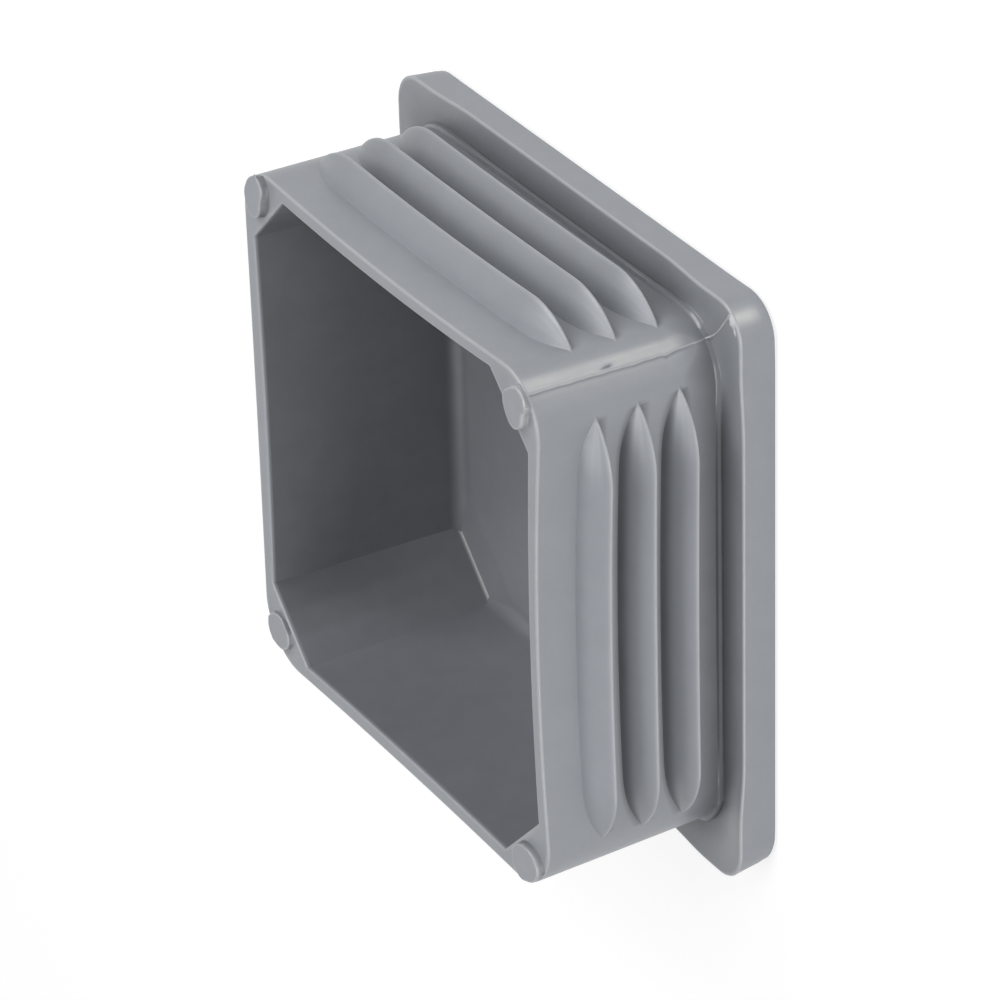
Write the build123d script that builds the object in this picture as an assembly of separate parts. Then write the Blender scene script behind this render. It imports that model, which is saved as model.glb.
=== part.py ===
"""A ribbed plug that closes the end of a square tube: one moulding, in millimetres.

The head's outer face lies on Z = 0 and the spigot rises along +Z to its open rim. The origin is the
centre of the head's outer face.
"""
from build123d import *
from math import acos, atan, degrees, radians, tan
import os

# The tube's end, which the head covers and the spigot enters
TUBE_WIDTH = 100.0          # outside of the square tube, and so the head's width
SEAT_WIDTH = 5.6            # the head's overhang all round the spigot, which seats on the tube's end

# Head
HEAD_THICKNESS = 6.0
HEAD_CORNER_RADIUS = 6.1
HEAD_OUTER_ROUND = 1.0      # rounding of the edge round the outer face
HEAD_INNER_ROUND = 0.25     # rounding of the edge round the inner face

# Spigot
SPIGOT_LENGTH = 31.5        # from the head's inner face to the rim
SPIGOT_CORNER_RADIUS = 9.0
WALL = 2.5
FOOT_SINK = 0.3             # how far the middle of each side has sunk inwards at the spigot's foot
RIM_SINK = {"+X": 1.8, "+Y": 1.0, "-X": 0.2, "-Y": 0.5}         # the same at the rim, outside
CAVITY_RIM_SINK = {"+X": 1.3, "+Y": 0.6, "-X": 0.8, "-Y": 0.6}  # and inside

# Cavity
FLOOR_THICKNESS = 3.1       # the head's thickness under the cavity
CAVITY_TAPER = 0.9          # how much further in each side of the cavity stands at its floor
WEB_LEG_LENGTH = 10.3       # leg of the 45 degree web across each corner of the cavity, at the rim
FLOOR_FILLET = 1.2

# Collar round the spigot's foot
COLLAR_PROUD = 0.6
COLLAR_HEIGHT = 1.0

# Lamellae: saw-tooth ribs, counted from the rim
LEAD_RIB_HEIGHT = 4.1       # the rib nearest to the rim is lower, to lead in
LEAD_RIB_RAMP = 3.4
RIB_HEIGHT = 5.0
RIB_PITCH = 7.2
RIM_TO_CREST = 10.05        # from the rim to the first crest
FOOT_TO_CREST = 4.5         # the least from the head's inner face to the last crest
RIB_RAMP = 3.6              # length of the rounded ramp, which faces the rim
RIB_BACK = 0.5              # length of the steep back, which faces the head
CREST_FLAT = 0.25
RIB_CUTTER_RADIUS = 13.5    # the ribs' ends fall away along this cutter's arc
RIB_END_INSET = 17.6        # from the spigot's side to where a rib's end begins to fall away

# Ejector bosses on the rim
BOSS_DIAMETER = 6.0
BOSS_HEIGHT = 1.3
BOSS_ROOT = 1.0             # how deep a boss is rooted in the rim
BOSS_INSET = 5.0            # from the spigot's sides to a boss's centre

spigot_half = TUBE_WIDTH / 2 - SEAT_WIDTH
rim_z = HEAD_THICKNESS + SPIGOT_LENGTH
SIDES = ("+Y", "-X", "-Y", "+X")    # each a quarter turn about Z on from the one before
foot_sink = {side: FOOT_SINK for side in SIDES}


def quarter(number):
    """The turn about Z that brings the +Y side to the side of this number."""
    return Rot(0, 0, 90 * number)


def sunk_side(flat, half, sink, z):
    """The +Y side of an outline, sunk inwards at its middle."""
    return ThreePointArc((flat, half, z), (0, half - sink, z), (-flat, half, z))


def sunk_square(half, setback, sink, z):
    """A square outline whose sides sink inwards by their own amounts, with corners that blend into them."""
    flat = half - setback
    edges = []
    for number, (side, following) in enumerate(zip(SIDES, SIDES[1:] + SIDES[:1])):
        lean = degrees(atan(sink[side] / flat)) + degrees(atan(sink[following] / flat))
        bulge = setback / 2 * tan(radians((45 + lean) / 2))
        corner = half - setback / 2 + bulge
        edges.append(quarter(number) * sunk_side(flat, half, sink[side], z))
        edges.append(quarter(number) * ThreePointArc((-flat, half, z), (-corner, corner, z), (-half, flat, z)))
    return Face(Wire(edges))


def webbed_square(half, leg, sink, z):
    """The cavity's outline: straight 45 degree webs between sides that sink inwards."""
    flat = half - leg
    edges = []
    for number, side in enumerate(SIDES):
        edges.append(quarter(number) * sunk_side(flat, half, sink[side], z))
        edges.append(quarter(number) * Line((-flat, half, z), (-half, flat, z)))
    return Face(Wire(edges))


def head():
    plate = extrude(RectangleRounded(TUBE_WIDTH, TUBE_WIDTH, HEAD_CORNER_RADIUS), HEAD_THICKNESS)
    plate = fillet(plate.edges().group_by(Axis.Z)[0], HEAD_OUTER_ROUND)
    return fillet(plate.edges().group_by(Axis.Z)[-1], HEAD_INNER_ROUND)


def spigot():
    foot = sunk_square(spigot_half, SPIGOT_CORNER_RADIUS, foot_sink, FLOOR_THICKNESS)
    rim = sunk_square(spigot_half, SPIGOT_CORNER_RADIUS, RIM_SINK, rim_z)
    return loft([foot, rim], ruled=True)


def cavity():
    mouth_half = spigot_half - WALL
    floor_half = mouth_half - CAVITY_TAPER
    floor = webbed_square(floor_half, WEB_LEG_LENGTH - CAVITY_TAPER, foot_sink, FLOOR_THICKNESS)
    mouth = webbed_square(mouth_half, WEB_LEG_LENGTH, CAVITY_RIM_SINK, rim_z)
    hollow = loft([floor, mouth], ruled=True)
    return fillet(hollow.edges().group_by(Axis.Z)[0], FLOOR_FILLET)


def collar():
    half = spigot_half + COLLAR_PROUD
    foot = HEAD_THICKNESS - COLLAR_HEIGHT
    outline = RectangleRounded(2 * half, 2 * half, SPIGOT_CORNER_RADIUS + COLLAR_PROUD)
    band = extrude(Pos(0, 0, foot) * outline, 2 * COLLAR_HEIGHT)
    return chamfer(band.edges().group_by(Axis.Z)[-1], COLLAR_PROUD / 2)


def rib(height, ramp, crest_z):
    """One lamella on the +Y side: a saw-tooth with a rounded ramp, rooted in the wall.

    The cutter that forms it runs straight between the rib's ends, and its round shape makes each end
    fall away into the wall.
    """
    crest = RIB_CUTTER_RADIUS
    wall = crest - height
    root = wall - WALL
    axis_y = spigot_half - wall
    top = axis_y + crest
    foot = axis_y + root
    back = Polyline((foot, crest_z + ramp), (foot, crest_z - RIB_BACK), (spigot_half, crest_z - RIB_BACK),
                    (top, crest_z), (top, crest_z + CREST_FLAT))
    round_ramp = TangentArc((foot, crest_z + ramp), (top, crest_z + CREST_FLAT), tangent=(1, 0))
    section = Plane.YZ * make_face(back + round_ramp)
    run = spigot_half - RIB_END_INSET
    straight = extrude(Pos(-run, 0, 0) * section, 2 * run, dir=(1, 0, 0))
    fall = degrees(acos(root / crest))
    end = revolve(Pos(run, 0, 0) * section, Axis((run, axis_y, 0), (0, 0, -1)), fall)
    outside = Box(2 * TUBE_WIDTH, 2 * crest, 4 * ramp, align=(Align.CENTER, Align.MIN, Align.CENTER))
    whole = straight + end + mirror(end, Plane.YZ)
    return whole & (Pos(0, foot, crest_z) * outside)


def ribs():
    """As many lamellae as the spigot has room for, on all four sides."""
    room = SPIGOT_LENGTH - RIM_TO_CREST - FOOT_TO_CREST
    count = int(room // RIB_PITCH) + 1
    forms = [(LEAD_RIB_HEIGHT, LEAD_RIB_RAMP)] + [(RIB_HEIGHT, RIB_RAMP)] * (count - 1)
    side = [rib(*form, rim_z - RIM_TO_CREST - number * RIB_PITCH) for number, form in enumerate(forms)]
    return [quarter(number) * one for number in range(len(SIDES)) for one in side]


def bosses():
    reach = spigot_half - BOSS_INSET
    standing = (Align.CENTER, Align.CENTER, Align.MIN)
    disc = Pos(0, 0, rim_z - BOSS_ROOT) * Cylinder(BOSS_DIAMETER / 2, BOSS_ROOT + BOSS_HEIGHT, align=standing)
    return [Pos(x, y, 0) * disc for x in (-reach, reach) for y in (-reach, reach)]


def end_cap():
    body = head() + spigot() + collar()
    for one in ribs():
        body += one
    body -= cavity()
    for one in bosses():
        body += one
    return body


os.makedirs("parts", exist_ok=True)
export_step(end_cap(), "parts/end_cap.step")
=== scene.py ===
"""The looks of the square tube end cap: one grey moulding with lamellae, standing on its outer face."""

from math import cos, pi, radians, sin, sqrt

import bpy
import numpy as np
from mathutils import Matrix, Vector

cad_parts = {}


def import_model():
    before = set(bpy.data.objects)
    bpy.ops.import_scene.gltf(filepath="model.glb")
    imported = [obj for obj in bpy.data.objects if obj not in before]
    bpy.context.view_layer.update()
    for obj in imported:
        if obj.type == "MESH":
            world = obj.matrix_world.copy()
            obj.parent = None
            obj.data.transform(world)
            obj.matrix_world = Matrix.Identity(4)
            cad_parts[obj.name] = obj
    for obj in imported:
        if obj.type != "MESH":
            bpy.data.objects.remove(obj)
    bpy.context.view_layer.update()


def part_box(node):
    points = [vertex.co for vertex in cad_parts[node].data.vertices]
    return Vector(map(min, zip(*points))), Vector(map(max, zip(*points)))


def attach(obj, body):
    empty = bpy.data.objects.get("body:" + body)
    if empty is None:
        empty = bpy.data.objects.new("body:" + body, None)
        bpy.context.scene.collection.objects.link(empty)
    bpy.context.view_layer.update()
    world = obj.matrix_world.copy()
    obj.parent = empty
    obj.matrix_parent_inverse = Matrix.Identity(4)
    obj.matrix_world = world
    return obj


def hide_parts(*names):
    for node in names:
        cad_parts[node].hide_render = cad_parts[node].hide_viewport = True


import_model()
high_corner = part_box("end_cap")[1]

MM = 0.001

# ---------------------------------------------------------------- sizes, in millimetres
# Four numbers in a row stand for the +Y, -X, -Y and +X sides, or for the -X+Y, -X-Y, +X-Y and +X+Y
# corners. Pairs are for a side's start and its end, going round anticlockwise as seen from the rim.
HEAD_HALF = high_corner.x / MM
HEAD_THICKNESS = 6.0
HEAD_INNER_Z = ((5.82, 5.76), (6.0, 6.0), (6.0, 6.1), (6.2, 6.03))  # its inner face, at its edge
HEAD_INNER_Z_AT_CORNER = (6.46, 6.5, 6.79, 6.46)
HEAD_CORNER_RADIUS_INSIDE = (6.1, 6.1, 6.0, 5.8)
HEAD_CORNER_RADIUS_OUTSIDE = (7.8, 6.1, 8.0, 6.1)
HEAD_BEVEL_HEIGHT = (0.97, 0.6, 0.6, 0.45)         # the bevel at its outer face
HEAD_BEVEL_WIDTH = (2.1, 1.4, 1.4, 1.1)
HEAD_INNER_ROUND = 0.3
FACE_AT_COLLAR_Z = 6.25         # the inner face's height beside the collar

SPIGOT_HALF = 44.4
BOX_BOSS_HEIGHT = 1.3
RIM_Z = high_corner.z / MM - BOX_BOSS_HEIGHT
RIM_ROUND = 0.25
CORNER_RADIUS_AT_FOOT = (8.8, 9.2, 11.5, 9.0)
CORNER_RADIUS_AT_RIM = (8.4, 10.3, 9.4, 9.0)
BOW_REACH = 35.0                # a side is bowed between the places this far from its middle
FOOT_SINK = 0.3
RIM_SINK = (1.0, 0.2, 0.5, 1.8)

FLOOR_Z = 2.25
FLOOR_FILLET = 2.2
WEB_RAMP = 5.5                  # a shallow ramp at each web's foot reaches this far over the floor
CAVITY_TAPER = 0.9
CAVITY_HALF_AT_FLOOR = 42.0     # before the taper
CAVITY_HALF = (42.15, 42.0, 42.0, 41.73)        # at the rim
CAVITY_RIM_SINK = (1.05, 0.8, 0.6, 1.3)
CAVITY_TILT = (0.12, 0.0, 0.0, 0.15)            # how much further out a side's start stands
WEB_ENDS = ((30.95, 31.7), (31.7, 31.35), (31.3, 31.2), (31.4, 32.5))

COLLAR_HALF = (45.0, 44.8, 43.5, 44.55)
COLLAR_RADIUS = (9.6, 9.6, 8.0, 9.6)
COLLAR_GAP = ((8, 30), (57.5, 60))      # degrees round the +X+Y corner: it fades out, and starts again
COLLAR_TOP = 7.05
COLLAR_PROUD = 0.75             # it stands out from the wall by no more than this
WALL_END = COLLAR_TOP + 0.25    # the wall's last row, just above the collar

RIB_CRESTS = (27.45, 20.25, 13.05)              # heights of the three crests
RIB_HEIGHTS = (4.1, 5.0, 5.0)
RIB_RAMPS = (3.4, 3.6, 3.6)
RAMP_START = 2.5                # a ramp's arc starts this far inside the nominal wall
RIB_BACK = 0.5
RIB_CUTTER_RADIUS = 13.5
RIB_RUN = 26.8                  # half of the straight stretch between a rib's rounded ends
RIB_RUN_SHORTER = (0.0, 0.0, 0.0, 0.9)          # by this much at a side's start
CREST_FLAT = 0.25
CREST_ROUND = 0.06
# A crest stands out by its rib's height and this extra, less the sag at its middle. The lift raises its
# two ends towards the rim.
CREST_EXTRA = ((0.3, 0.0, 0.0), (0.0, 0.0, 0.0), (-0.2, -0.7, -0.7), (0.1, -0.33, -0.12))
CREST_SAG = ((0.55, 0.25, 0.25), (0.1, 0.1, 0.1), (0.3, 0.1, 0.1), (0.7, 0.3, 0.3))
CREST_LIFT = ((-0.45, 0.0), (0.0, 0.0), (0.0, 0.0), (0.25, 0.05))

SHARP_ANGLE = radians(32)       # sharper edges than this are shaded as edges

# ---------------------------------------------------------------- tones: how much lighter or darker
# A tone of 1 is a painted highlight on an edge, and one below 0 is painted shade in a recess. Only the
# scuffs at the ribs' ends stand for real marks.
EDGE_HIGHLIGHT_TONE = 0.9
# a painted highlight along the ribs' crests
CREST_HIGHLIGHT_TONE = 0.6
TIP_TONE = 0.25
SCUFF_DEPTH = 1.2               # how much the scratches at a rib's scuffed end differ
SCUFFED_ENDS = (1, 0, 0, -1)    # which end of each side's ribs is scuffed: +1 is the start, 0 neither
# Painted shade down the ramps, at the feet of ramps that start in a valley, and in the valleys
RAMP_SHADE_TONES = (-0.45, -0.2, -0.2, -0.15)
RAMP_FOOT_SHADE_TONES = (0.0, 0.0, 0.0, -1.4)         # of the ramps that start in a valley
VALLEY_SHADE_TONES = (-0.4, -0.4, -0.4, -1.3)
FOOT_SHADE_TONES = (-0.9, -0.9, -0.9, -1.8)   # painted shade of the wall, going down to the collar
# painted shade on the collar
COLLAR_SHADE_TONES = (-0.9, -0.9, -0.9, -1.7)
# Painted shade in the cavity: on its sides, more on the -X side near the rim, and on its floor
INNER_SHADE_TONE = -1.0
INNER_EXTRA_SHADE_TONES = (0.0, -0.6, 0.0, 0.0)        # of the cavity's sides, near the rim
FLOOR_SHADE_TONE = -0.75
CREASE_HIGHLIGHT_TONE = 5.0               # a painted highlight along the crease at each web's foot
CREASE_ROWS = {0.5: 0.8, 0.55: 1, 0.625: 0.5}   # how strong it is on these rows of the floor's fillet
# painted shade over the head's inner face
HEAD_FACE_SHADE_TONE = -0.6
HEAD_FACE_LIFT = (-0.3, 0.0, 0.3, 0.9)          # painted light and shade half way over the head's inner face
CALM_LIFT = -0.4                # the same, round the +X+Y corner
FACE_FOOT_SHADE_TONE = -0.75          # more painted shade near the collar
CONTACT_SHADOW_TONE = -2.1             # a painted shadow where the head meets the collar
BLOCK_HIGHLIGHT_TONE = 2.4                # a painted highlight on a block of the collar, beside the parting line
BLOCK_START, BLOCK_END = (57, 59), (74, 78)     # in degrees round the +X+Y corner
CALM_START, CALM_END = (-50, 0), (70, 110)      # the painted shade is weaker between these
STREAK_HIGHLIGHT_TONE = 2.4               # a painted highlight streaking down the head's +X+Y corner
STREAK_PLACE, STREAK_WIDTH = 0.505, 0.055       # as shares of the way round that corner

# ---------------------------------------------------------------- stations round one quarter
WEB_START = 31.7                # the column where a side of the cavity ends and a web begins
SIDE_END = 38.0
half_side = np.concatenate([
    np.linspace(0, RIB_RUN, 17),
    np.linspace(RIB_RUN, WEB_START, 13)[1:],
    np.linspace(WEB_START, SIDE_END, 17)[1:],
])
LATERAL = np.concatenate([half_side[::-1], -half_side[1:]])
CORNER = np.concatenate([
    np.linspace(0.05, 0.42, 7),
    np.linspace(0.455, 0.545, 13),
    np.linspace(0.58, 0.95, 7),
])
QUARTERS = range(4)


def smooth(value, start, finish):
    """0 up to the start, 1 from the finish on, with a smooth step between."""
    share = np.clip((value - start) / (finish - start), 0, 1)
    return share ** 2 * (3 - 2 * share)


def smooth_positive(value, blur):
    """The value where it is above 0, and 0 below, with a bend this wide between."""
    return (value + np.sqrt(value ** 2 + blur ** 2)) / 2


def hump(value, middle, width):
    """1 at the middle, falling away to 0 on both sides."""
    return np.exp(-((value - middle) / width) ** 2)


def bow(lateral):
    """The share of a side's full sink at a place along it: all at its middle, none at its ends."""
    return smooth_positive(1 - (lateral / BOW_REACH) ** 2, 0.06)


def up_the_wall(z):
    """0 at the spigot's foot and 1 at its rim."""
    return (z - HEAD_THICKNESS) / (RIM_Z - HEAD_THICKNESS)


def corner_radius(corner, z):
    foot, rim = CORNER_RADIUS_AT_FOOT[corner], CORNER_RADIUS_AT_RIM[corner]
    return foot + (rim - foot) * up_the_wall(z)


def corner_drop(radius, reach_beyond, proud=0.0):
    """How far a rounded corner has fallen away at a distance beyond the start of its arc."""
    beyond = np.maximum(reach_beyond, 0)
    return radius + proud - np.sqrt((radius + proud) ** 2 - beyond ** 2)


def wall_sink(side, lateral, z, proud=0.0):
    """How far the outside of a side stands inwards of its nominal plane."""
    sink = FOOT_SINK + (RIM_SINK[side] - FOOT_SINK) * up_the_wall(z)
    radius = np.where(lateral < 0, corner_radius(side, z), corner_radius(side - 1, z))
    return sink * bow(lateral) + corner_drop(radius, np.abs(lateral) - SPIGOT_HALF + radius, proud)


# ---------------------------------------------------------------- the parting line
PARTING_CORNER = 3              # the +X+Y corner
PARTING_HEIGHTS = (6.8, 11.0, 14.2, 14.8, 20.0, 24.0, 36.0)
PARTING_ANGLES = (49.1, 47.8, 46.0, 46.9, 46.7, 47.2, 48.4)     # round the corner, at those heights
PARTING_STEP = 0.05             # the two halves of the mould met this much out of line
BEAD_HEIGHT = 0.08
GROOVE_DEPTH = 0.05
NICK = (0.62, 23.4)             # how far it is beside the line, and its height
BARB = (-0.45, 14.2)
# a painted highlight on the bead, and painted shade in the groove and in the nick
BEAD_HIGHLIGHT_TONE, GROOVE_SHADE_TONE, NICK_SHADE_TONE = 1.5, -0.6, -3.5


def parting_angle(corner, z):
    if corner == PARTING_CORNER:
        waver = 0.35 * np.sin(1.7 * z) * np.sin(0.53 * z + 1)
        return np.radians(np.interp(z, PARTING_HEIGHTS, PARTING_ANGLES) + waver)
    return np.full_like(z, radians(45))


def parting_relief(corner, distance, z):
    """How far the wall stands out beside the parting line, and its tone there, painted light and shade.

    The distance is along the wall in millimetres, and above 0 towards the +Y side.
    """
    if corner != PARTING_CORNER:
        return 0 * distance, 0 * distance
    strength = np.interp(z, (8.0, 12.0), (0.4, 1.0))
    waver = 1 + 0.35 * np.sin(z * 1.9) * np.sin(z * 0.7 + 1)
    fading = np.exp(-np.maximum(distance, 0) / 2.2)
    step = PARTING_STEP * strength * smooth(distance, -0.1, 0.1) * fading
    bead = BEAD_HEIGHT * waver * hump(distance, 0.02, 0.11)
    groove = GROOVE_DEPTH * strength * (hump(distance, -0.27, 0.12) + 0.2 * hump(distance, 0.25, 0.1))
    pit = hump(distance, NICK[0], 0.2) * (hump(z, NICK[1], 0.6) + 0.6 * hump(z, NICK[1] + 0.9, 0.5))
    barb = hump(distance, BARB[0], 0.2) * hump(z, BARB[1], 0.3)
    streaks = 1 + 0.15 * np.sin(9.0 * distance + 0.3 * z) * np.sin(23.0 * distance + 1)
    # painted sheen: lighter bands beside the line, broad above it and narrow below
    above = 1.45 * (1 - smooth(distance, 1.6, 2.9)) * streaks + 0.2 * (1 - smooth(distance, 2.6, 4.2))
    below = 0.4 * smooth(-distance, 0.35, 0.6) * (1 - smooth(-distance, 0.8, 1.7)) * streaks
    below += 0.3 * smooth(-distance, 0.3, 0.5) * (1 - smooth(-distance, 1.7, 4.5))
    painted_sheen = smooth(z, 9.5, 12.5) * (smooth(distance, 0.1, 0.35) * above + below)
    # the painted sheen, a painted highlight on the bead, and painted shade in the nick, at the barb and
    # in the groove
    tone = painted_sheen + BEAD_HIGHLIGHT_TONE * hump(distance, 0.02, 0.14) + NICK_SHADE_TONE * pit - barb
    tone += GROOVE_SHADE_TONE * strength * hump(distance, -0.27, 0.12)
    return step + bead - groove - 0.2 * pit + 0.08 * barb, tone


def corner_points(corner, z, proud=0.0):
    """Points round one rounded corner of the outside wall, for rows of heights z, and their tones."""
    radius = corner_radius(corner, z)
    centre = SPIGOT_HALF - radius
    start = np.arcsin((SIDE_END - centre) / (radius + proud))
    finish = pi / 2 - start
    middle = parting_angle(corner, z)
    share = CORNER[None, :]
    angle = np.where(share < 0.5,
                     start + (middle - start) * share / 0.5,
                     middle + (finish - middle) * (share - 0.5) / 0.5)
    relief, tone = parting_relief(corner, (angle - middle) * radius, z)
    reach = radius + proud + relief
    x, y = -centre - reach * np.sin(angle), centre + reach * np.cos(angle)
    return np.stack([x, y, z + 0 * angle], -1), tone


# ---------------------------------------------------------------- the outside wall and its ribs
def ramp_height(lift, crest, ramp):
    """How high above its crest a rounded ramp is, where it stands this far out of the nominal wall."""
    run = ramp - CREST_FLAT
    radius = ((crest + RAMP_START) ** 2 + run ** 2) / (2 * run)
    return ramp - radius + np.sqrt(radius ** 2 - (lift + RAMP_START) ** 2)


def rib_rows(side, number):
    """Rows of (height, stand-out, tone) over one rib of a side, from its ramp's foot to its back's."""
    full = RIB_HEIGHTS[number]
    ramp = RIB_RAMPS[number]
    along = np.clip(LATERAL / RIB_RUN, -1, 1)
    lift_start, lift_end = CREST_LIFT[side]
    crest_z = RIB_CRESTS[number] + (lift_start + lift_end) / 2 + (lift_start - lift_end) / 2 * along
    crest = full + CREST_EXTRA[side][number] - CREST_SAG[side][number] * (1 - along ** 2)
    beyond = np.maximum(np.abs(LATERAL) - RIB_RUN + RIB_RUN_SHORTER[side] * (LATERAL > 0), 0)
    cutter_wall = RIB_CUTTER_RADIUS - full

    def at_lift(lift):
        return np.sqrt(np.maximum((cutter_wall + lift) ** 2 - beyond ** 2, 0.01)) - cutter_wall

    def lift_at_wall(z):
        wall = -wall_sink(side, LATERAL, z)
        return np.minimum(np.sqrt((cutter_wall + wall) ** 2 + beyond ** 2) - cutter_wall, crest - 0.12)

    end = SCUFFED_ENDS[side]
    tip = TIP_TONE * smooth(LATERAL * end, RIB_RUN - 3, WEB_START) if end else 0.0
    foot = lift_at_wall(crest_z + 2)
    for _ in range(3):
        foot = lift_at_wall(crest_z + ramp_height(foot, crest, ramp))
    heel = lift_at_wall(crest_z - RIB_BACK)
    rows = []
    for step, share in enumerate(np.linspace(0, 1, 18) ** 0.8):
        lift = foot + (crest - CREST_ROUND - foot) * share
        scuff = sin(12.9 * step + number) * sin(7.3 * step + 2 * side)
        tone = tip * (smooth(share, 0.15, 0.5) + SCUFF_DEPTH * scuff * share)
        # a painted highlight near the crest, and painted shade down the ramp
        tone += CREST_HIGHLIGHT_TONE * max(share * 16 - 15, 0) + RAMP_SHADE_TONES[side] * min(share * 4, 1)
        if number:      # the first ramp has no valley at its foot
            # painted shade where the rib before shades this ramp's foot
            at_foot = 1 - smooth(share, 0.08, 0.42) - 0.25 * hump(share, 0.5, 0.14)
            tone += RAMP_FOOT_SHADE_TONES[side] * at_foot
        rows.append((crest_z + ramp_height(lift, crest, ramp), at_lift(lift), tone))
    rows.append((crest_z + CREST_FLAT - CREST_ROUND, at_lift(crest), CREST_HIGHLIGHT_TONE))
    rows.append((crest_z + CREST_ROUND, at_lift(crest), CREST_HIGHLIGHT_TONE))
    for share in np.linspace(0, 1, 7):
        lift = crest - CREST_ROUND + (heel + 0.05 - crest + CREST_ROUND) * share
        fall = RIB_BACK * (crest - lift) / full
        fillet = 0.25 * share ** 6
        # a painted highlight at the top of the back, fading into painted shade down to the valley
        tone = CREST_HIGHLIGHT_TONE * max(1 - share * 9, 0) + VALLEY_SHADE_TONES[side] * smooth(share, 0.2, 0.9)
        rows.append((crest_z - fall - fillet, at_lift(lift), tone))
    last_z = rows[-1][0] - 0.2
    rows.append((last_z, -wall_sink(side, LATERAL, last_z), VALLEY_SHADE_TONES[side]))
    standing = smooth(at_lift(crest) + wall_sink(side, LATERAL, crest_z), 0.05, 0.5)
    return [(z, stand_out, tone * standing) for z, stand_out, tone in rows]


ROWS_IN_GAPS = (10, 5, 5, 6)    # over, between and under the three ribs


def side_rows(side):
    """Heights, stand-outs and tones of the rows down a side, from the rim's rounding to the collar."""
    ribs = [rib_rows(side, number) for number in range(3)]
    edges = [np.full_like(LATERAL, RIM_Z - 2 * RIM_ROUND)]
    for rows in ribs:
        edges += [rows[0][0], rows[-1][0]]
    edges.append(np.full_like(LATERAL, WALL_END))
    rows = []
    for gap, steps in enumerate(ROWS_IN_GAPS):
        start, finish = edges[2 * gap], edges[2 * gap + 1]
        shares = np.linspace(0, 1, steps)
        if gap > 0:
            shares = shares[1:]
        if gap < 3:
            shares = shares[:-1]
        for share in shares:
            z = start + (finish - start) * share
            # painted shade, deepening down the wall towards the collar
            tone = FOOT_SHADE_TONES[side] * share ** 0.7 if gap == 3 else 0.0
            rows.append((z, -wall_sink(side, LATERAL, z), tone))
        if gap < 3:
            for z, stand_out, tone in ribs[gap]:
                rows.append((z, np.maximum(stand_out, -wall_sink(side, LATERAL, z)), tone))
    heights = np.array([row[0] for row in rows])
    stand_outs = np.array([row[1] for row in rows])
    tones = np.array([np.broadcast_to(row[2], LATERAL.shape) for row in rows])
    return heights, stand_outs, tones


def turned(points, quarter):
    """Points of the first side, turned to another one."""
    c, s = (1, 0, -1, 0)[quarter], (0, 1, 0, -1)[quarter]
    x, y = points[..., 0].copy(), points[..., 1].copy()
    return np.concatenate([np.stack([c * x - s * y, s * x + c * y], -1), points[..., 2:]], -1)


def outside_wall():
    """The wall with its ribs, from the rim's rounding to the collar, and its tones."""
    sides = [side_rows(quarter) for quarter in QUARTERS]
    count = len(sides[0][0])
    even = np.linspace(RIM_Z - 2 * RIM_ROUND, WALL_END, count)[:, None]
    spread = np.sin(pi * CORNER)[None, :] ** 2
    points, tones = [], []
    for quarter in QUARTERS:
        heights, stand_outs, tone = sides[quarter]
        x = np.broadcast_to(LATERAL, heights.shape)
        side = np.stack([x, SPIGOT_HALF + stand_outs, heights], -1)
        here, following = heights[:, -1:], sides[(quarter + 1) % 4][0][:, :1]
        level = here + (following - here) * CORNER[None, :]
        corner, corner_tone = corner_points(quarter, level + (even - level) * spread)
        points += [turned(side, quarter), turned(corner, quarter)]
        tone_here, tone_following = tone[:, -1:], sides[(quarter + 1) % 4][2][:, :1]
        tones += [tone, corner_tone + tone_here + (tone_following - tone_here) * CORNER]
    return np.concatenate(points, 1), np.concatenate(tones, 1)


def wall_ring(z, proud=0.0):
    """One ring round the outside wall at a height, standing proud of it or inside it, and its tones."""
    points, tones = [], []
    for quarter in QUARTERS:
        height = np.full_like(LATERAL, z)
        y = SPIGOT_HALF + proud - wall_sink(quarter, LATERAL, height, proud)
        corner, tone = corner_points(quarter, np.full((1, len(CORNER)), z), proud)
        points += [turned(np.stack([LATERAL, y, height], -1), quarter), turned(corner[0], quarter)]
        tones += [0 * LATERAL, tone[0]]
    return np.concatenate(points), np.concatenate(tones)


# ---------------------------------------------------------------- plain rounded squares
def rounded_square(halves, radii):
    """Points round a square with rounded corners, and the way out at each of them."""
    points, outward = [], []
    for quarter in QUARTERS:
        half, radius = halves[quarter], radii[quarter]
        centre_x, centre_y = halves[(quarter + 1) % 4] - radius, half - radius
        radius_before = radii[quarter - 1]
        centre_before = halves[quarter - 1] - radius_before
        ahead, behind = np.minimum(LATERAL + centre_x, 0), np.maximum(LATERAL - centre_before, 0)
        radius_here = np.where(LATERAL < 0, radius, radius_before)
        bend = np.where(LATERAL < 0, ahead, behind) / radius_here
        out = np.stack([bend, np.sqrt(1 - bend ** 2)], -1)
        drop = radius_here * (1 - out[:, 1])
        side = np.stack([LATERAL, half - drop], -1)
        start = np.arcsin(max(SIDE_END - centre_x, 0) / radius)
        finish = pi / 2 - np.arcsin(max(SIDE_END - centre_y, 0) / radius)
        before, after = max(centre_x - SIDE_END, 0), max(centre_y - SIDE_END, 0)
        arc = radius * (finish - start)
        travel = CORNER * (before + arc + after)
        angle = np.clip(start + (travel - before) / radius, start, finish)
        x = -centre_x - radius * np.sin(angle) + np.maximum(before - travel, 0)
        y = centre_y + radius * np.cos(angle) - np.maximum(travel - before - arc, 0)
        corner = np.stack([x, y], -1)
        corner_out = np.stack([-np.sin(angle), np.cos(angle)], -1)
        points += [turned(side, quarter), turned(corner, quarter)]
        outward += [turned(out, quarter), turned(corner_out, quarter)]
    return np.concatenate(points), np.concatenate(outward)


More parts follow.
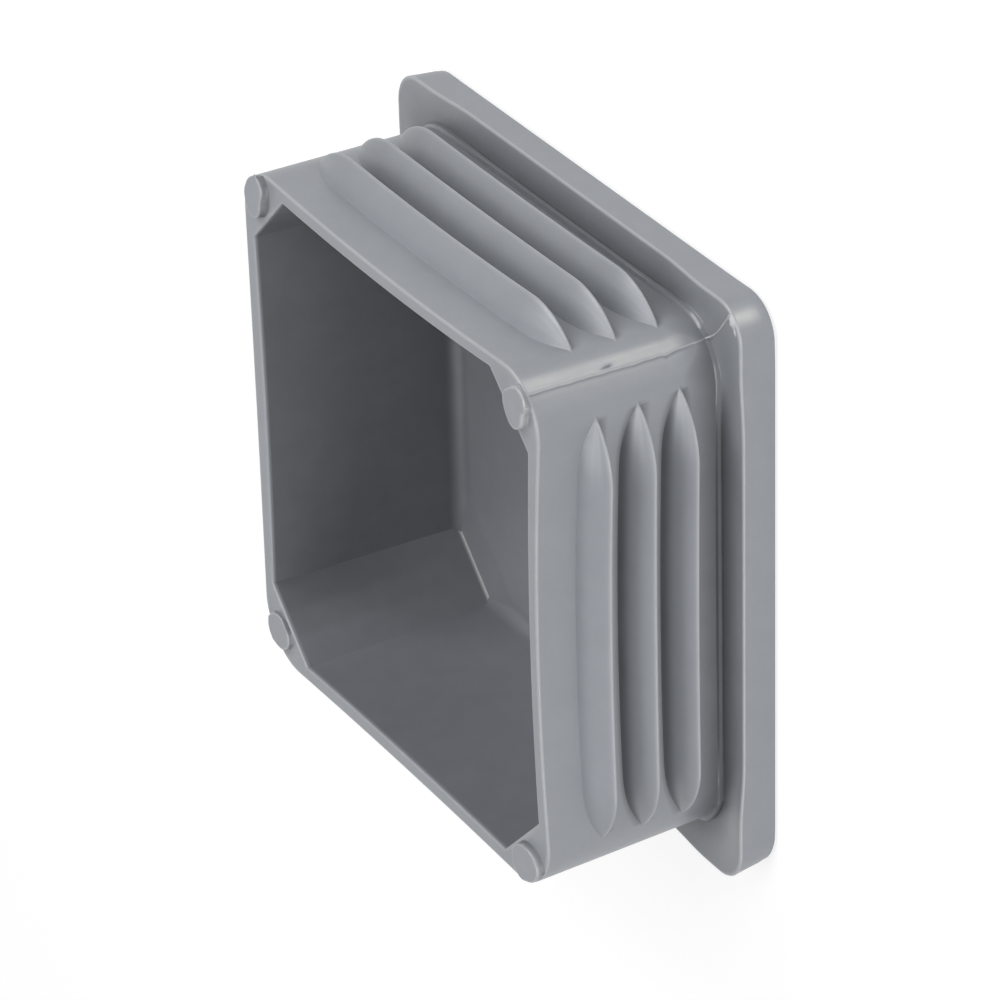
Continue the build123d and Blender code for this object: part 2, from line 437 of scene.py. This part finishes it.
def round_the_ring(values):
    """One value a side, or a pair for its start and end, blended round the corners of a ring."""
    starts, ends = np.array([np.broadcast_to(value, 2) for value in values], float).T
    along = (1 - LATERAL / SIDE_END) / 2
    blend = CORNER ** 2 * (3 - 2 * CORNER)
    parts = []
    for quarter in QUARTERS:
        parts.append(starts[quarter] + (ends[quarter] - starts[quarter]) * along)
        parts.append(ends[quarter] + (starts[(quarter + 1) % 4] - ends[quarter]) * blend)
    return np.concatenate(parts)


# ---------------------------------------------------------------- the cavity
def cavity_ring(z, inset=0.0, web_inset=0.0):
    """One ring round the cavity: four bowed sides joined by straight webs."""
    height = (z - FLOOR_Z) / (RIM_Z - FLOOR_Z)
    on_side = np.abs(LATERAL) <= WEB_START + 1e-6
    inner = LATERAL[on_side]
    starts, finishes, sides = [], [], []
    for quarter in QUARTERS:
        half = CAVITY_HALF_AT_FLOOR + (CAVITY_HALF[quarter] - CAVITY_HALF_AT_FLOOR) * height
        half -= CAVITY_TAPER * (1 - height) + inset
        sink = FOOT_SINK + (CAVITY_RIM_SINK[quarter] - FOOT_SINK) * height
        tilt = CAVITY_TILT[quarter] * height * inner / WEB_START
        reach = np.where(inner > 0, WEB_ENDS[quarter][0], WEB_ENDS[quarter][1])
        x = inner * (reach + inset - sqrt(2) * web_inset) / WEB_START
        side = np.stack([x, half - sink * bow(inner) + tilt, np.full_like(inner, z)], -1)
        side = turned(side, quarter)
        sides.append(side)
        starts.append(side[0])
        finishes.append(side[-1])
    lead = int(np.argmax(on_side))      # this many columns at each end of a side are on a web
    web_count = 2 * lead + len(CORNER)
    share = np.linspace(0, 1, web_count + 2)[1:-1, None]
    ring = []
    for quarter in QUARTERS:
        web = finishes[quarter] + (starts[(quarter + 1) % 4] - finishes[quarter]) * share
        ring += [sides[quarter], web]
    ring = np.concatenate(ring, 0)
    return np.roll(ring, lead, axis=0)


def on_webs():
    """1 on the columns of the webs and 0 on the cavity's sides."""
    side = np.where(np.abs(LATERAL) > WEB_START + 0.1, 1.0, 0.0)
    return np.concatenate([side, np.ones(len(CORNER))] * 4)


# ---------------------------------------------------------------- the collar and the head
def corner_shares():
    """How far round the +X+Y corner a column is, from 0 to 1, and -9 away from it."""
    shares = np.full(4 * (len(LATERAL) + len(CORNER)), -9.0)
    shares[-len(CORNER):] = CORNER
    return shares


def collar_bearings():
    """Degrees from +X of each column round the middle of the collar's +X+Y corner."""
    points, _ = rounded_square(COLLAR_HALF, COLLAR_RADIUS)
    x, y = points.T
    centre_x, centre_y = COLLAR_HALF[3] - COLLAR_RADIUS[3], COLLAR_HALF[0] - COLLAR_RADIUS[3]
    return np.degrees(np.arctan2(y - centre_y, x - centre_x))


def collar_gap():
    """1 on the columns where the collar is missing and 0 where it is whole."""
    bearing = collar_bearings()
    fade_out, start_again = COLLAR_GAP
    return smooth(bearing, *fade_out) * (1 - smooth(bearing, *start_again))


def collar_ring(z, inset=0.0):
    """A ring of the collar: a little proud of the wall, with a gap beside the parting line."""
    points, outward = rounded_square(COLLAR_HALF, COLLAR_RADIUS)
    points = points - inset * outward
    wall = wall_ring(z)[0][:, :2]
    points = points + (wall - points) * collar_gap()[:, None]
    stand_out = ((points - wall) * outward).sum(1)
    wanted = np.clip(stand_out, 0.05 * (1 - collar_gap()), COLLAR_PROUD)
    points = points + (wanted - stand_out)[:, None] * outward
    return np.concatenate([points, np.full((len(points), 1), z)], 1)


def head_inner_z():
    """Height of the head's inner face at its edge: its corners curl up."""
    points, _ = rounded_square((HEAD_HALF,) * 4, HEAD_CORNER_RADIUS_INSIDE)
    towards_corner = smooth(np.abs(points).min(1), 28.0, 40.0)
    middle = round_the_ring(HEAD_INNER_Z)
    nearer = []
    for quarter in QUARTERS:
        before, after = HEAD_INNER_Z_AT_CORNER[quarter - 1], HEAD_INNER_Z_AT_CORNER[quarter]
        nearer += [np.where(LATERAL > 0, before, after), np.full_like(CORNER, after)]
    return middle + (np.concatenate(nearer) - middle) * towards_corner


def head_ring(z, inset=0.0, up=0.0):
    """One ring round the head. Its corners' radii change from the outer face, up = 0, to the inner."""
    radii = [outside + (inside - outside) * up
             for outside, inside in zip(HEAD_CORNER_RADIUS_OUTSIDE, HEAD_CORNER_RADIUS_INSIDE)]
    points, outward = rounded_square((HEAD_HALF,) * 4, radii)
    points = points - np.broadcast_to(inset, len(points))[:, None] * outward
    return np.concatenate([points, np.broadcast_to(z, len(points))[:, None]], 1)


def rounding(radius, steps):
    """(along the first face, down the second) for the points of a quarter circle at an edge."""
    return [(radius * (1 - sin(a)), radius * (1 - cos(a))) for a in np.linspace(0, pi / 2, steps + 1)]


# ---------------------------------------------------------------- the whole skin
def moulding_rows():
    """The rings of the skin, from the cavity's floor to the outer face, as grids of points and tones."""
    rings, tones = [], []

    def add(ring, tone=0.0):
        ring = ring.reshape(-1, ring.shape[-2], 3)
        rings.append(ring)
        tones.append(np.broadcast_to(tone, ring.shape[:2]))

    # the cavity, with painted shade over its floor and sides
    web, inner_extra = on_webs(), round_the_ring(INNER_EXTRA_SHADE_TONES)
    floor_edge = cavity_ring(FLOOR_Z, FLOOR_FILLET, WEB_RAMP)
    for share in (0.08, 0.3, 0.55, 0.8, 0.93, 0.97):
        ring = floor_edge * share
        ring[:, 2] = FLOOR_Z
        add(ring, FLOOR_SHADE_TONE)
    crease_up = 1 - cos(pi / 4)
    # the floor's fillet, with a painted highlight along the crease at each web's foot
    for share in (0, 0.125, 0.25, 0.375, 0.45, 0.49, 0.5, 0.55, 0.625, 0.75, 0.875, 1):
        along, up = 1 - sin(share * pi / 2), 1 - cos(share * pi / 2)
        web_inset = WEB_RAMP * max(1 - up / crease_up, 0)
        ring = cavity_ring(FLOOR_Z + up * FLOOR_FILLET, along * FLOOR_FILLET, web_inset)
        add(ring, INNER_SHADE_TONE + CREASE_HIGHLIGHT_TONE * web * CREASE_ROWS.get(share, 0))
    for z in np.linspace(FLOOR_Z + 1.2 * FLOOR_FILLET, RIM_Z - 0.8, 12):
        add(cavity_ring(z), INNER_SHADE_TONE + inner_extra * smooth(z, 6, 24))
    # a weaker painted highlight along the rim's inner edge
    for along, down in rounding(RIM_ROUND, 4)[::-1]:
        add(cavity_ring(RIM_Z - down, -along, -along), EDGE_HIGHLIGHT_TONE * 0.5)

    # the rim
    inner_edge = rings[-1][0]
    outer_edge, _ = wall_ring(RIM_Z, -RIM_ROUND)
    for share in (0.12, 0.5, 0.86):
        add(inner_edge + (outer_edge - inner_edge) * share)
    # a painted highlight along the rim's outer edge
    for along, down in rounding(RIM_ROUND, 4):
        add(wall_ring(RIM_Z - down, -along)[0], EDGE_HIGHLIGHT_TONE)

    # the wall, its ribs and the collar, with painted shade at the wall's foot and on the collar
    add(*outside_wall())
    foot_tone, collar_tone = round_the_ring(FOOT_SHADE_TONES), round_the_ring(COLLAR_SHADE_TONES)
    add(wall_ring(COLLAR_TOP + 0.12)[0], 0.9 * foot_tone)
    bearing, gap = collar_bearings(), collar_gap()
    # a painted highlight on a block of the collar
    block_highlight = BLOCK_HIGHLIGHT_TONE * smooth(bearing, *BLOCK_START) * (1 - smooth(bearing, *BLOCK_END))
    calm = smooth(bearing, *CALM_START) * (1 - smooth(bearing, *CALM_END))
    # painted shade on the collar, weaker round part of the +X+Y corner
    tone = (collar_tone * (1 - gap) + foot_tone * gap) * (1 - 0.5 * calm)
    add(collar_ring(COLLAR_TOP, 0.12), tone + 0.3 * block_highlight)
    add(collar_ring(COLLAR_TOP - 0.1, 0.0), tone + block_highlight)
    add(collar_ring(COLLAR_TOP - 0.3, 0.0), tone + block_highlight)
    add(collar_ring(FACE_AT_COLLAR_Z + 0.3, 0.0), tone)
    # a painted shadow at the collar's foot
    add(collar_ring(FACE_AT_COLLAR_Z + 0.08, 0.0), tone + 0.5 * CONTACT_SHADOW_TONE * (1 - calm))

    # the head, with painted shade over its inner face
    face_start = collar_ring(FACE_AT_COLLAR_Z, -0.1)
    edge_z = head_inner_z()
    face_end = head_ring(edge_z, HEAD_INNER_ROUND, 1.0)
    # the painted shadow along the foot of the collar
    add(face_start, CONTACT_SHADOW_TONE * (1 - 0.75 * calm))
    lift = round_the_ring(HEAD_FACE_LIFT) * (1 - calm) + CALM_LIFT * calm
    for share in (0.06, 0.15, 0.3, 0.5, 0.7, 0.9, 0.95):
        tone = HEAD_FACE_SHADE_TONE * (1 - 0.5 * share) + lift * sin(pi * share)
        tone = tone + FACE_FOOT_SHADE_TONE * (1 - smooth(share, 0, 0.65)) * (1 - calm)
        add(face_start + (face_end - face_start) * share, tone)
    # a painted highlight along the head's inner edge
    for along, down in rounding(HEAD_INNER_ROUND, 4):
        add(head_ring(edge_z - down, along, 1.0), EDGE_HIGHLIGHT_TONE)
    # a painted highlight streaking down the head's +X+Y corner
    streak_highlight = STREAK_HIGHLIGHT_TONE * hump(corner_shares(), STREAK_PLACE, STREAK_WIDTH)
    for share in (0.93, 0.8, 0.6, 0.4, 0.3):
        add(head_ring(edge_z * share, 0.0, share), streak_highlight * smooth(share, 0.2, 0.55))
    bevel_height, bevel_width = round_the_ring(HEAD_BEVEL_HEIGHT), round_the_ring(HEAD_BEVEL_WIDTH)
    for inset, above in ((0.0, 0.25), (0.0, 0.12), (0.02, 0.03), (0.08, -0.03)):
        add(head_ring(bevel_height + above, inset))
    for share in (0.25, 0.5, 0.75, 1.0):
        add(head_ring(bevel_height * (1 - share) * (1 + 0.25 * share), bevel_width * share))
    outer_face = rings[-1][0]
    for share in (0.985, 0.8, 0.55, 0.3, 0.08):
        add(outer_face * share)
    return np.concatenate(rings, 0), np.concatenate(tones, 0)


def ring_faces(ring_count, count, upwards=False):
    """Quads between rings of points, with the rings listed downwards, or upwards."""
    faces = []
    for ring in range(ring_count - 1):
        here, there = ring * count, (ring + 1) * count
        for step in range(count):
            following = (step + 1) % count
            if upwards:
                faces.append((here + step, here + following, there + following, there + step))
            else:
                faces.append((here + step, there + step, there + following, here + following))
    return faces


def mesh_object(name, vertices, faces, tones=None):
    mesh = bpy.data.meshes.new(name)
    mesh.from_pydata(vertices.tolist(), [], faces)
    mesh.update()
    if tones is not None:
        mesh.attributes.new("tone", "FLOAT", "POINT").data.foreach_set("value", tones)
        mesh.shade_smooth()
        mesh.set_sharp_from_angle(angle=SHARP_ANGLE)
    item = bpy.data.objects.new(name, mesh)
    bpy.context.scene.collection.objects.link(item)
    return item


def moulding():
    grid, tones = moulding_rows()
    row_count, column_count = grid.shape[:2]
    floor_middle = row_count * column_count
    face_middle = floor_middle + 1
    points = np.concatenate([grid.reshape(-1, 3), [[0, 0, FLOOR_Z], [0, 0, 0]]])
    faces = ring_faces(row_count, column_count)
    last = (row_count - 1) * column_count
    for column in range(column_count):
        following = (column + 1) % column_count
        faces.append((floor_middle, column, following))
        faces.append((face_middle, last + following, last + column))
    return mesh_object("moulding", points * MM, faces, np.append(tones.ravel(), (INNER_SHADE_TONE, 0.0)))


# ---------------------------------------------------------------- the ejector bosses
# Place, height, mean radius, how the radius swells (cosine and sine, twice and three times round), and
# the tones of a boss's wall and of its foot: painted shade below 0 and a painted highlight above it
BOSSES = {
    "ejector_boss_1": (-39.16, -38.77, 0.85, 3.23, (0.17, -0.04), (-0.02, -0.05), -0.7, -1.2),
    "ejector_boss_2": (39.10, -39.58, 1.28, 3.46, (0.31, 0.19), (0.08, 0.02), 0.5, -1.5),
    "ejector_boss_3": (-39.06, 40.42, 1.30, 3.10, (-0.54, 0.41), (-0.17, 0.12), -1.1, -1.9),
    "ejector_boss_4": (39.61, 39.81, 1.30, 3.15, (-0.32, 0.29), (-0.20, 0.24), 2.4, 0.2),
}
# Burrs and nicks in a boss's edge: bearing and spread in degrees, and how far it reaches out
BURRS = {
    "ejector_boss_1": ((157, 10, 0.25), (230, 6, 0.1)),
    "ejector_boss_2": ((250, 14, 0.12),),
    "ejector_boss_3": ((74, 6, 0.8), (20, 6, -0.08)),
    "ejector_boss_4": ((17, 9, 0.22), (-4, 6, -0.2)),
}
# A foot that is flared: bearing and spread in degrees, and how far
BOSS_FLARES = {"ejector_boss_3": (-20, 35, 0.8)}
BOSS_STEPS = 120
BOSS_CORNERS = ((-1, 1), (-1, -1), (1, -1), (1, 1))
OVERHANG_ROOM = 0.1             # a boss's foot keeps this far inside the wall's rounded corner


def on_the_rim(points, corner):
    """Points moved in where they would overhang the wall's rounded corner."""
    signs = BOSS_CORNERS[corner]
    radius = CORNER_RADIUS_AT_RIM[corner]
    centre = np.array(signs) * (SPIGOT_HALF - radius)
    away = points - centre
    reach = np.linalg.norm(away, axis=1)
    limit = radius - OVERHANG_ROOM
    beyond = (away * signs > 0).all(1) & (reach > limit)
    scale = np.where(beyond, limit / reach, 1.0)
    return centre + away * scale[:, None]


def clear_of_the_web(points, corner):
    """Points moved out where they would overhang the cavity's web."""
    signs = BOSS_CORNERS[corner]
    web = CAVITY_HALF[corner] + WEB_ENDS[corner][1] + RIM_ROUND
    short = smooth_positive(web - (points * signs).sum(1), 0.3)
    return points + short[:, None] / 2 * np.array(signs)


def near_bearing(angle, bearing, spread):
    """1 at a bearing, falling away to 0 on both sides. Bearing and spread are in degrees."""
    return hump((np.degrees(angle) - bearing + 180) % 360 - 180, 0, spread)


def boss(name):
    """An ejector boss: a short disc standing on the rim, out of round, with burrs at its edge."""
    x, y, height, radius, twice, thrice, wall_tone, foot_tone = BOSSES[name]
    angle = np.linspace(0, 2 * pi, BOSS_STEPS, endpoint=False)
    outline = radius + twice[0] * np.cos(2 * angle) + twice[1] * np.sin(2 * angle)
    outline += thrice[0] * np.cos(3 * angle) + thrice[1] * np.sin(3 * angle)
    outline += 0.02 * np.sin(7 * angle + x) + 0.012 * np.sin(13 * angle + y)
    burr = 0 * angle
    for bearing, spread, out in BURRS[name]:
        burr = burr + out * near_bearing(angle, bearing, spread)
    bearing, spread, out = BOSS_FLARES.get(name, (0, 1, 0))
    flare = out * near_bearing(angle, bearing, spread)
    corner = BOSS_CORNERS.index((np.sign(x), np.sign(y)))
    profile = [         # how far outside the outline, how high over the rim, and the tone, painted light and shade
        (0.15, -0.6, foot_tone), (0.22, 0.0, 0.6 * foot_tone), (0.1, 0.04, foot_tone),
        (0.04, 0.15, foot_tone), (0.02, 0.5 * height, 0.5 * (wall_tone + foot_tone)),
        (0.0, height - 0.3, wall_tone), (-0.04, height - 0.12, EDGE_HIGHLIGHT_TONE),
        (-0.1, height - 0.03, EDGE_HIGHLIGHT_TONE), (-0.2, height, EDGE_HIGHLIGHT_TONE), (-0.3, height - 0.03, 0.2),
        (-0.45, height - 0.06, 0.0), (-1.5, height - 0.06, 0.0),
    ]
    vertices, tones = [], []
    for spread, z, tone in profile:
        lip = np.clip(z / height, 0, 1) ** 3
        reach = outline + spread + burr * lip + flare * (1 - np.clip(z / height, 0, 1))
        place = np.stack([x + reach * np.cos(angle), y + reach * np.sin(angle)], -1)
        if z < 0.6 * height:
            place = on_the_rim(place, corner)
        place = clear_of_the_web(place, corner)
        vertices.append(np.column_stack([place, np.full(BOSS_STEPS, RIM_Z + z)]))
        tones.append(np.full(BOSS_STEPS, tone))
    faces = ring_faces(len(profile), BOSS_STEPS, upwards=True)
    faces.append(tuple(range((len(profile) - 1) * BOSS_STEPS, len(profile) * BOSS_STEPS)))
    faces.append(tuple(reversed(range(BOSS_STEPS))))
    return mesh_object(name, np.concatenate(vertices) * MM, faces, np.concatenate(tones))


# ---------------------------------------------------------------- flash over the head
FLASH = (               # x, y, z, half width, height
    (41.0, 41.9, 7.4, 0.06, 0.03), (41.2, 42.2, 7.0, 0.12, 0.1), (41.5, 42.5, 6.6, 0.15, 0.12),
    (42.0, 42.7, 6.36, 0.13, 0.1), (43.9, 44.4, 6.35, 0.13, 0.1), (45.2, 46.1, 6.42, 0.13, 0.1),
    (46.3, 47.5, 6.46, 0.18, 0.12), (47.2, 48.3, 6.44, 0.5, 0.25), (47.75, 48.3, 6.4, 0.75, 0.35),
    (48.1, 47.6, 6.35, 0.6, 0.35), (48.35, 46.9, 6.35, 0.45, 0.25), (48.6, 46.3, 6.36, 0.3, 0.15),
    (48.8, 45.6, 6.38, 0.12, 0.05),
)
FLASH_STEPS = 6                 # from one of these places to the next
FLASH_SIDES = 10
# the flash is painted lighter and shinier, a painted highlight
FLASH_HIGHLIGHT_TONE = 1.1


def flash():
    """A thin bead at the parting line's foot, which squeezed out between the halves of the mould."""
    key = np.array(FLASH)
    count = (len(key) - 1) * FLASH_STEPS + 1
    spot = np.linspace(0, len(key) - 1, count)
    path = np.stack([np.interp(spot, range(len(key)), key[:, k]) for k in range(5)], -1)
    padded = np.concatenate([path[:1]] * 3 + [path] + [path[-1:]] * 3)
    path = np.mean([padded[k:k + count] for k in range(7)], axis=0)
    path[:, 3:] *= (1 + 0.2 * np.sin(spot * 2.9))[:, None]
    ahead = np.gradient(path[:, :3], axis=0)
    ahead /= np.linalg.norm(ahead, axis=1)[:, None]
    outward = np.array([0.45, 0.45, 0.77])
    across = np.cross(ahead, outward)
    across /= np.linalg.norm(across, axis=1)[:, None]
    up = np.cross(across, ahead)
    around = np.linspace(0, 2 * pi, FLASH_SIDES, endpoint=False)
    rings = []
    for place, side, rise in zip(path, across, up):
        half_width, height = place[3:]
        rings.append([place[:3] + side * half_width * cos(a) + rise * height * sin(a) for a in around])
    vertices = np.array(rings).reshape(-1, 3)
    faces = ring_faces(count, FLASH_SIDES)
    faces.append(tuple(reversed(range(FLASH_SIDES))))
    faces.append(tuple(range((count - 1) * FLASH_SIDES, count * FLASH_SIDES)))
    return mesh_object("parting_flash", vertices * MM, faces, np.full(len(vertices), FLASH_HIGHLIGHT_TONE))


# ---------------------------------------------------------------- material
class Tree:
    """A short way to build a node tree."""

    def __init__(self, owner):
        owner.use_nodes = True
        self.tree = owner.node_tree
        self.tree.nodes.clear()

    def add(self, kind, **settings):
        node = self.tree.nodes.new("ShaderNode" + kind)
        inputs = settings.pop("inputs", {})
        for name, value in settings.items():
            setattr(node, name, value)
        for name, value in inputs.items():
            if isinstance(value, bpy.types.NodeSocket):
                self.tree.links.new(value, node.inputs[name])
            else:
                node.inputs[name].default_value = value
        return node

    def math(self, operation, first, second=0.0, third=0.0):
        return self.add("Math", operation=operation, inputs={0: first, 1: second, 2: third}).outputs[0]

    def scaled(self, value, low, high):
        """A noise's middle stretch, scaled to run from low to high."""
        inputs = {"Value": value, "From Min": 0.3, "From Max": 0.7, "To Min": low, "To Max": high}
        return self.add("MapRange", inputs=inputs).outputs[0]

    def noise(self, place, scale, detail=2.0, roughness=0.5):
        inputs = {"Vector": place, "Scale": scale, "Detail": detail, "Roughness": roughness}
        return self.add("TexNoise", inputs=inputs).outputs[0]


GREY = (0.264, 0.278, 0.303, 1)
TONE_STRENGTH = 0.32            # how much lighter or darker one tone is
ROUGHNESS = 0.42
SPECULAR = 0.75


def plastic():
    """Moulded grey plastic: finely dimpled, faintly mottled, lighter and shinier at painted highlights
    and at scuffs, darker at painted shade.
    """
    material = bpy.data.materials.new("grey_plastic")
    tree = Tree(material)
    place = tree.add("TexCoord").outputs["Object"]
    tone = tree.add("Attribute", attribute_name="tone").outputs["Fac"]
    mottle = tree.scaled(tree.noise(place, 220.0, 4.0, 0.6), -0.03, 0.03)
    cloud = tree.scaled(tree.noise(place, 32.0, 2.0), -0.02, 0.02)
    drawn_out = tree.add("Mapping", inputs={"Vector": place, "Scale": (1, 1, 0.15)}).outputs[0]
    patchy = tree.scaled(tree.noise(drawn_out, 1500.0, 3.0), 0.9, 1.1)
    grain = tree.noise(place, 4200.0, 3.0, 0.6)
    # tones above 0 are painted highlights and the real scuffs at the ribs' ends; tones below 0 are
    # painted shade and those scuffs' darker scratches
    highlight_and_scuff_tone = tree.math("MAXIMUM", tone, 0.0)
    highlight_and_scuff = tree.math("MULTIPLY", highlight_and_scuff_tone, patchy)
    painted_shade_and_scratches = tree.math("MINIMUM", tone, 0.0)
    tone = tree.math("MULTIPLY", tree.math("ADD", highlight_and_scuff, painted_shade_and_scratches), TONE_STRENGTH)
    value = tree.math("ADD", tree.math("ADD", mottle, cloud), tree.math("ADD", tone, 1.0))
    saturation = tree.math("MAXIMUM", tree.math("MULTIPLY_ADD", highlight_and_scuff, -0.5, 1.0), 0.1)
    colour = tree.add("HueSaturation", inputs={
        "Color": GREY, "Value": tree.math("MAXIMUM", value, 0.1), "Saturation": saturation})
    rough = tree.math("ADD", tree.scaled(grain, -0.05, 0.05), ROUGHNESS)
    rough = tree.math("MULTIPLY_ADD", highlight_and_scuff, -0.04, rough)
    dimples = tree.math("MULTIPLY_ADD", tree.noise(place, 700.0, 3.0), 2.0, grain)
    bump = tree.add("Bump", inputs={"Strength": 0.25, "Distance": 0.00002, "Height": dimples})
    shader = tree.add("BsdfPrincipled", inputs={
        "Base Color": colour.outputs[0], "Roughness": rough, "Specular IOR Level": SPECULAR,
        "Normal": bump.outputs[0]})
    tree.add("OutputMaterial", inputs={"Surface": shader.outputs[0]})
    return material


# ---------------------------------------------------------------- camera, floor and light
CAMERA_PLACE = Vector((0.6273, 0.4180, 0.3784))
CAMERA_AIM = Vector((0.00244, 0.00026, 0.02000))
CAMERA_ROLL = radians(1.69)
CAMERA_LENS = 194.41


def camera():
    data = bpy.data.cameras.new("camera")
    data.lens = CAMERA_LENS
    data.sensor_width = 36
    data.clip_end = 10
    item = bpy.data.objects.new("camera", data)
    bpy.context.scene.collection.objects.link(item)
    forward = (CAMERA_AIM - CAMERA_PLACE).normalized()
    up = Vector((0, 1, 0))
    up = (up - forward * up.dot(forward)).normalized()
    right = forward.cross(up)
    turned_up = up * cos(CAMERA_ROLL) + right * sin(CAMERA_ROLL)
    turned_right = forward.cross(turned_up)
    rotation = Matrix((turned_right, turned_up, -forward)).transposed().to_4x4()
    item.matrix_world = Matrix.Translation(CAMERA_PLACE) @ rotation
    bpy.context.scene.camera = item


def seen_directly(tree):
    """1 for rays from the camera and from glossy or clear surfaces, 0 for rays that light things."""
    path = tree.add("LightPath")
    direct = tree.math("ADD", path.outputs["Is Camera Ray"], path.outputs["Is Glossy Ray"])
    return tree.math("MINIMUM", tree.math("ADD", direct, path.outputs["Is Transmission Ray"]), 1.0)


FLOOR_HALF = 3.0                # metres


def stage_floor():
    """A pale floor. Seen directly it is white, with only the object's shadow on it."""
    vertices = np.array([(-1, -1, 0), (1, -1, 0), (1, 1, 0), (-1, 1, 0)]) * FLOOR_HALF
    floor = mesh_object("floor", vertices, [(0, 1, 2, 3)])
    material = bpy.data.materials.new("floor")
    tree = Tree(material)
    pale = tree.add("BsdfDiffuse", inputs={"Color": (0.8, 0.8, 0.8, 1)})
    shaded = tree.add("BsdfDiffuse", inputs={"Color": (0.3, 0.3, 0.3, 1)})
    glow = tree.add("Emission", inputs={"Strength": 0.8})
    white = tree.add("AddShader", inputs={0: shaded.outputs[0], 1: glow.outputs[0]})
    direct = seen_directly(tree)
    mix = tree.add("MixShader", inputs={0: direct, 1: pale.outputs[0], 2: white.outputs[0]})
    tree.add("OutputMaterial", inputs={"Surface": mix.outputs[0]})
    floor.data.materials.append(material)


WORLD_STRENGTH = 0.02
LAMP_DISTANCE = 1.5
LAMP_SIZE = 0.7
LAMPS = (               # height and bearing in degrees, and watts
    (12, 0, 7.2), (12, 324, 5.0), (35, 108, 8.8), (35, 63, 3.4), (60, 72, 5.1), (88, 0, 5.2),
)


def world():
    surroundings = bpy.data.worlds.new("world")
    bpy.context.scene.world = surroundings
    tree = Tree(surroundings)
    strength = tree.math("MULTIPLY_ADD", seen_directly(tree), 1 - WORLD_STRENGTH, WORLD_STRENGTH)
    background = tree.add("Background", inputs={"Color": (1, 1, 1, 1), "Strength": strength})
    tree.add("OutputWorld", inputs={"Surface": background.outputs[0]})


def lamps():
    for number, (height, bearing, power) in enumerate(LAMPS):
        height, bearing = radians(height), radians(bearing)
        towards = Vector((cos(height) * cos(bearing), cos(height) * sin(bearing), sin(height)))
        data = bpy.data.lights.new(f"lamp_{number + 1}", "AREA")
        data.shape = "DISK"
        data.size = LAMP_SIZE
        data.energy = power
        lamp = bpy.data.objects.new(data.name, data)
        lamp.location = towards * LAMP_DISTANCE
        lamp.rotation_euler = towards.to_track_quat("Z", "Y").to_euler()
        bpy.context.scene.collection.objects.link(lamp)


camera()
stage_floor()
world()
lamps()
bpy.context.scene.view_settings.view_transform = "Standard"

grey = plastic()
pieces = [moulding(), flash()] + [boss(name) for name in BOSSES]
for piece in pieces:
    piece.data.materials.append(grey)
    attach(piece, "root")
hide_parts("end_cap")
